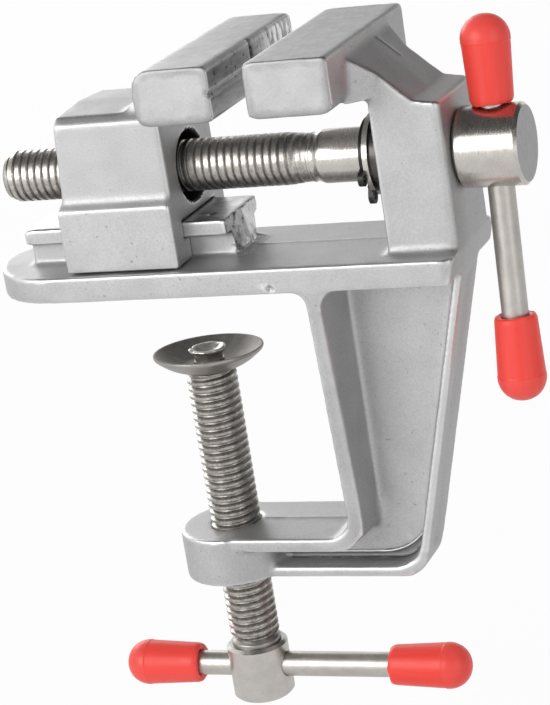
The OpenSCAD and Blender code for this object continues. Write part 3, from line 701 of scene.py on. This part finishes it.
def moving_jaw():
    slot = ((-17.0, -7.5, 4.0), (4.0, 7.5, 11.3))
    ledge = ((-17.0, -11.5, 13.8), (3.0, 11.5, 16.4))
    tops = ((4.0, -19.0, 36.4), (16.0, 19.0, 38.0))
    top_mid = ((6.0, -19.0, 36.4), (13.5, 19.0, 38.0))
    grip = ((14.9, -19.0, 28.0), (16.0, 19.0, 38.0))
    front = ((2.5, -19.0, 28.0), (16.0, -17.5, 38.0))
    foot = ((-18.0, -12.0, 4.0), (3.0, 12.0, 4.9))
    bore_r = 6.6
    jaw = Casting("moving_jaw_cast", "moving_jaw", [
        (slot, 0.12), (ledge, 0.35), (top_mid, 0.12), (grip, 0.2)])
    jaw.round_off()
    for low, high in ((-11.6, -8.8), (8.8, 11.6)):
        block_right = ((1.2, low, 4.4), (3.2, high, 28.5))
        block_left = ((-17.4, low, 4.4), (-13.4, high, 29.0))
        jaw.soften(block_right, 8)
        jaw.soften(block_left, 8)
    jaw.lift(foot, 0.2)
    jaw.thin(0.28)
    jaw.paint_box(CUT_TOP, tops, (0, 0, 1), 0.9)
    jaw.paint_box(MOVING_FRONT, front, (0, -1, 0), 0.5)
    jaw.paint_box(GRIP, grip, (1, 0, 0), 0.45)
    # Faces inside the bore that face the screw's axis get painted shade
    off_axis = jaw.centres - np.array((0, 0, AXIS_Z)) * MM
    off_axis[:, 0] = 0
    gap = np.linalg.norm(off_axis, axis=1)
    inward = np.einsum("ij,ij->i", off_axis, jaw.facing) < -0.3 * gap
    jaw.paint(BORE_PAINTED_SHADE, inward & (gap < bore_r * MM))
    jaw.dress("moving_jaw", "cast_body", "moving_jaw")


def panel_burr(name, side):
    """Bead of flash along the lower edge of the web's panel and up its round corner. All its points are
    marked as edge, so the casting's material paints the whole bead lighter as a painted highlight.
    """
    level, edge_y, left, corner = -46.8, 1.2, 10.5, 32.19
    radius, turn = 9.0, math.radians(75.5)
    start = corner - radius * math.tan(turn / 2)
    path = [(x, level, 0.0) for x in np.linspace(left, start, 70)[:-1]]
    for a in np.linspace(0, turn, 40):
        path.append((start + radius * math.sin(a), level + radius * (1 - math.cos(a)), a))
    bead = Shell()
    rows, steps = len(path), 8
    for row, (x, z, a) in enumerate(path):
        spot = Vector((x, z, side))
        size = 0.15 + 0.06 * noise.noise(spot * 0.9) + 0.03 * noise.noise(spot * 4)
        size *= smooth_step(4 * row / rows) * smooth_step(6 * (rows - 1 - row) / rows)
        for k in range(steps):
            angle = 2 * math.pi * k / steps
            across, up = size * math.cos(angle), size * math.sin(angle)
            bead.points.append((x - up * math.sin(a), side * edge_y + across, z + up * math.cos(a)))
    bead.join(0, steps, rows)
    mesh = bead.mesh(name, sharp_angle=180.0)
    # Whole bead marked as edge: a painted highlight along the panel's lower edge
    rubbed_edge_and_highlight = mesh.attributes.new("edge", "FLOAT", "POINT")
    rubbed_edge_and_highlight.data.foreach_set("value", np.ones(len(mesh.vertices), dtype=np.float32))
    dress(add_object(name, mesh, CAST), "frame", "cast_body")


frame_casting()
moving_jaw()
panel_burr("panel_burr_front", -1)
panel_burr("panel_burr_back", 1)


# Screws

def main_spindle():
    low, high = box_mm("main_spindle")
    clip_low, clip_high = box_mm("retaining_clip")
    place = Matrix.Translation(Vector((0, 0, AXIS_Z)) * MM) @ ALONG_X
    shank, undercut, groove = 4.15, 3.72, 3.55
    shank_x, thread_end = 24.6, 22.9
    shell = Shell()
    tip = [(0.3, low.x, 0), (2.9, low.x, 0), (ROOT, low.x + 0.35, 0), (ROOT, low.x + 0.6, 0)]
    burnished = [
        (undercut, thread_end - 0.05, 0), (undercut + 0.1, thread_end + 0.05, 0.04),
        (undercut + 0.1, thread_end + 0.3, 0.04), (undercut, thread_end + 0.4, 0.04),
        (undercut, shank_x - 0.7, 0.4), (shank, shank_x + 0.2, 0.3),
        (shank, clip_low.x - 0.02, 0.05), (groove, clip_low.x - 0.02, 0.05),
        (groove, clip_high.x + 0.02, 0.05), (shank, clip_high.x + 0.02, 0.05), (shank, high.x, 0)]
    shell.lathe(rounded(tip), 1)
    shell.thread(WORN_FORM, low.x + 0.3, thread_end, undercut, 1.5, 4.5, 0)
    shell.lathe(rounded(burnished), 1)
    obj = add_object("main_thread", shell.mesh("main_thread", place), MAIN_THREAD, STEEL_X)
    dress(obj, "main_screw", "steel", "main_spindle")


def clamp_spindle():
    foot = box_mm("clamp_spindle")[0].z
    pad_low, pad_high = box_mm("clamp_pad")
    shoulder, tip = pad_low.z - 0.5, pad_high.z + 0.1
    collar = box_mm("clamp_screw_head")[1].z + 0.6
    spigot, peen_h, hollow = 2.4, 1.2, 1.4
    shell = Shell()
    shell.lathe(rounded([(0.3, foot, 0), (CREST, foot, 0), (CREST, collar, 0.2), (ROOT, collar + 0.5, 0)]), 1)
    shell.thread(SHARP_FORM, collar + 0.4, shoulder, ROOT, 0.8, 0.7, 0)
    shell.lathe([(ROOT, shoulder - 0.1), (ROOT, shoulder), (spigot, shoulder), (spigot, tip - 2.0)], 1)
    crown = rounded([(2.3, tip - 2.3, 0), (2.15, tip - 1.2, 0.5), (2.95, tip - 0.55, 0.35), (2.85, tip, 0.25),
                     (2.2, tip - 0.05, 0.3), (1.5, tip - 0.75, 0.4), (0.2, tip - 0.95, 0)])
    rows = []
    for radius, height in crown:
        row = []
        peened = smooth_step((height - tip + peen_h) / peen_h)
        flared = peened if radius > hollow else 0.0
        for x, y in circle(3.6):
            ragged = noise.noise(Vector((x, y, 5.0 + height)))
            row.append((radius + 0.32 * flared * ragged, height + 0.3 * peened * min(ragged, 0.0)))
        rows.append(row)
    shell.skin(rows, 2)
    obj = add_object("clamp_thread", shell.mesh("clamp_thread"), CLAMP_THREAD, STEEL_PAD, STEEL_Z)
    dress(obj, "clamp_screw", "steel", "clamp_spindle")


main_spindle()
clamp_spindle()


# Pad, which hangs a little askew on its loose spigot

def pad():
    low, high = box_mm("clamp_pad")
    rim, top, bottom = high.y, high.z, low.z
    profile = rounded([
        (2.6, bottom, 0.1), (4.4, bottom, 0.6), (rim - 2.2, bottom + 0.95, 2.0), (rim - 0.3, top - 0.8, 0.4),
        (rim, top - 0.45, 0.2), (rim - 0.02, top, 0.15), (rim - 0.4, top - 0.02, 0.15),
        (rim - 2.4, top - 1.4, 2.0), (4.4, bottom + 0.9, 0.6), (2.6, bottom + 0.9, 0.1)], closed=True)
    shell = Shell()
    shell.lathe(profile, 0, True, 112)
    tilt_axis = Vector((math.cos(VIEW_TURN), math.sin(VIEW_TURN), 0))
    roll_axis = Vector((-math.sin(VIEW_TURN), math.cos(VIEW_TURN), 0))
    roll = Matrix.Rotation(math.radians(1.6), 4, roll_axis)
    tilt = Matrix.Rotation(math.radians(-2.4), 4, tilt_axis)
    seat = Matrix.Translation(Vector((0, 0, bottom)) * MM)
    sunk = Matrix.Translation(Vector((0, 0, -0.3)) * MM)
    place = sunk @ seat @ roll @ tilt @ seat.inverted()
    mesh = shell.mesh("pad_dish", place, 50.0)
    # The dish's inside looks up and gets a darker, rougher copy of the steel: painted shade in its hollow
    mesh.polygons.foreach_set("material_index", [int(face.normal.z > 0.3) for face in mesh.polygons])
    obj = add_object("pad_dish", mesh, STEEL_PAD, STEEL_DISH_PAINTED_SHADE)
    dress(obj, "clamp_pad", "steel", "clamp_pad")


pad()


# Red caps, each pushed on an end of its bar

def cap(handle, side):
    name, node = f"cap_{handle}_{side}", f"{handle}_handle_cap_{side}"
    bar_low, bar_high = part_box(f"{handle}_handle_bar")
    centre, axis = (bar_low + bar_high) / 2, slide_axis(f"{handle}_handle_slide")
    reach = (read(frame["nodes"][node].data.vertices, "co") - np.array(centre)) @ np.array(axis) / MM
    outwards = axis if reach.mean() > 0 else -axis
    mouth, length = np.abs(reach).min(), np.ptp(reach)
    turned = outwards.to_track_quat("Z", "Y").to_matrix().to_4x4()
    bore, lip, widest = 2.08, 3.3, 3.78
    dome = length - CAP_SEAM - 0.1
    over = [(widest * math.cos(a) ** 0.92, CAP_SEAM + 0.1 + dome * math.sin(a), 0)
            for a in (math.radians(90 * k / 16) for k in range(1, 16))]
    skirt = [(bore, 1.2, 0), (bore, 0.25, 0.2), (2.5, 0.0, 0.2), (lip - 0.25, 0.0, 0.25), (lip, 0.6, 0.4),
             (widest - 0.08, CAP_SEAM - 0.25, 0.1), (widest, CAP_SEAM - 0.1, 0.06),
             (widest - 0.03, CAP_SEAM + 0.08, 0.05)]
    rows = []
    for radius, height in rounded(skirt + over + [(0.15, length, 0)]):
        ragged = 0.22 * smooth_step(1 - height / 0.9)
        rows.append([(radius, height + ragged * noise.noise(Vector((x, y, mouth)))) for x, y in circle(2.0)])
    shell = Shell()
    shell.skin(rows)
    obj = add_object(name, shell.mesh(name, sharp_angle=60.0), RED)
    obj.matrix_world = Matrix.Translation(centre + outwards * mouth * MM) @ turned
    dress(obj, f"{handle}_handle", "red_cap", node)


for handle, sides in (("main", ("top", "bottom")), ("clamp", ("left", "right"))):
    for side in sides:
        cap(handle, side)


# CAD nodes that keep their shape

def finish_node(node, finish, edge):
    """Gives a CAD node its material and bevels its edges."""
    obj = frame["nodes"][node]
    obj.data.materials.clear()
    obj.data.materials.append(finish)
    bevel = obj.modifiers.new("edge", "BEVEL")
    bevel.width = edge * MM
    bevel.segments = 2
    bevel.limit_method = "ANGLE"
    bevel.angle_limit = math.radians(40)


finish_node("main_screw_head", STEEL_X, 0.15)
finish_node("thrust_washer", STEEL_X, 0.12)
# Spring washer painted near-black: painted shade
finish_node("spring_washer", STEEL_PAINTED_SHADE, 0.12)
finish_node("main_handle_bar", STEEL_BAR, 0.1)
finish_node("clamp_screw_head", STEEL_Z, 0.2)
finish_node("clamp_handle_bar", STEEL_BAR, 0.1)
finish_node("retaining_clip", BLACK, 0.08)


# Studio, in metres

LAMPS_AIM = Vector((0.012, 0, -0.015))


def area_light(name, at, size, power):
    data = bpy.data.lights.new(name, "AREA")
    data.shape = "RECTANGLE"
    data.size, data.size_y = size
    data.energy = power
    obj = bpy.data.objects.new(name, data)
    scene.collection.objects.link(obj)
    obj.location = at
    obj.rotation_mode = "QUATERNION"
    obj.rotation_quaternion = (LAMPS_AIM - Vector(at)).to_track_quat("-Z", "Y")


area_light("key", (-0.45, -0.75, 0.35), (0.6, 0.6), 4.4)
area_light("fill", (0.75, -0.45, 0.20), (0.5, 0.7), 1.6)
area_light("back", (-0.70, 0.72, 0.34), (0.7, 0.4), 2.7)


def background_rays(g):
    """1 for rays that show the background: from the camera, or by a reflection or through glass."""
    rays = g.add("ShaderNodeLightPath").outputs
    shown = g.math("MAXIMUM", rays["Is Camera Ray"], rays["Is Glossy Ray"])
    return g.math("MAXIMUM", shown, rays["Is Transmission Ray"])


def studio_world():
    """Reflections show a white horizon that darkens overhead and to the right; the rest is an even light."""
    world = bpy.data.worlds.new("studio")
    world.use_nodes = True
    scene.world = world
    g = Graph(world.node_tree)
    where = g.add("ShaderNodeTexCoord").outputs["Generated"]
    place = g.add("ShaderNodeSeparateXYZ", {"Vector": where}).outputs
    height = g.math("ADD", place["Z"], g.math("MULTIPLY", place["X"], 0.5))
    level = g.ramp(height, 0.30, 0.54, 1.0, 0.08)
    seen = g.add("ShaderNodeBackground", {"Color": (1, 1, 1, 1), "Strength": level})
    soft = g.add("ShaderNodeBackground", {"Color": (1, 1, 1, 1), "Strength": 0.42})
    mixed = g.add("ShaderNodeMixShader", {0: background_rays(g), 1: soft.outputs[0], 2: seen.outputs[0]})
    g.add("ShaderNodeOutputWorld", {"Surface": mixed.outputs[0]})


def floor():
    """White paper: plain to the camera but for the shadow, half as bright in reflections."""
    size, low = 3.0, cad_low.z - 25 * MM
    mesh = bpy.data.meshes.new("floor")
    mesh.from_pydata([(-size, -size, low), (size, -size, low), (size, size, low), (-size, size, low)], [],
                     [(0, 1, 2, 3)])
    made, g = material("floor_white")
    paper = g.noise(g.where(), 30.0)
    matt = g.add("ShaderNodeBsdfDiffuse", {"Color": g.mix(paper, grey(0.86), grey(0.89))})
    glow = g.add("ShaderNodeEmission", {"Color": (1, 1, 1, 1), "Strength": 1.0})
    rays = g.add("ShaderNodeLightPath").outputs
    mirrored = g.math("MAXIMUM", rays["Is Glossy Ray"], rays["Is Transmission Ray"])
    plain = g.math("MULTIPLY", rays["Is Camera Ray"], 0.95)
    share = g.math("MAXIMUM", plain, g.math("MULTIPLY", mirrored, 0.5))
    mixed = g.add("ShaderNodeMixShader", {0: share, 1: matt.outputs[0], 2: glow.outputs[0]})
    g.add("ShaderNodeOutputMaterial", {"Surface": mixed.outputs[0]})
    add_object("floor", mesh, made)


studio_world()
floor()


def camera():
    """The photograph's view."""
    sensor = 36.0
    data = bpy.data.cameras.new("camera")
    data.sensor_fit = "VERTICAL"
    data.sensor_width = data.sensor_height = sensor
    data.lens = PHOTO_FOCAL / PHOTO_HEIGHT * sensor
    data.clip_start, data.clip_end = 0.01, 20.0
    obj = bpy.data.objects.new("camera", data)
    scene.collection.objects.link(obj)
    level = Vector((math.sin(VIEW_TURN), -math.cos(VIEW_TURN), 0)) * math.cos(VIEW_RISE)
    back = level + Vector((0, 0, math.sin(VIEW_RISE)))
    right = Vector((math.cos(VIEW_TURN), math.sin(VIEW_TURN), 0))
    up = back.cross(right)
    across = math.cos(VIEW_ROLL) * right - math.sin(VIEW_ROLL) * up
    above = math.sin(VIEW_ROLL) * right + math.cos(VIEW_ROLL) * up
    turn = Matrix((across, above, back)).transposed().to_4x4()
    obj.matrix_world = Matrix.Translation(VIEW_FROM * MM) @ turn
    scene.camera = obj


camera()
scene.view_settings.view_transform = "Standard"
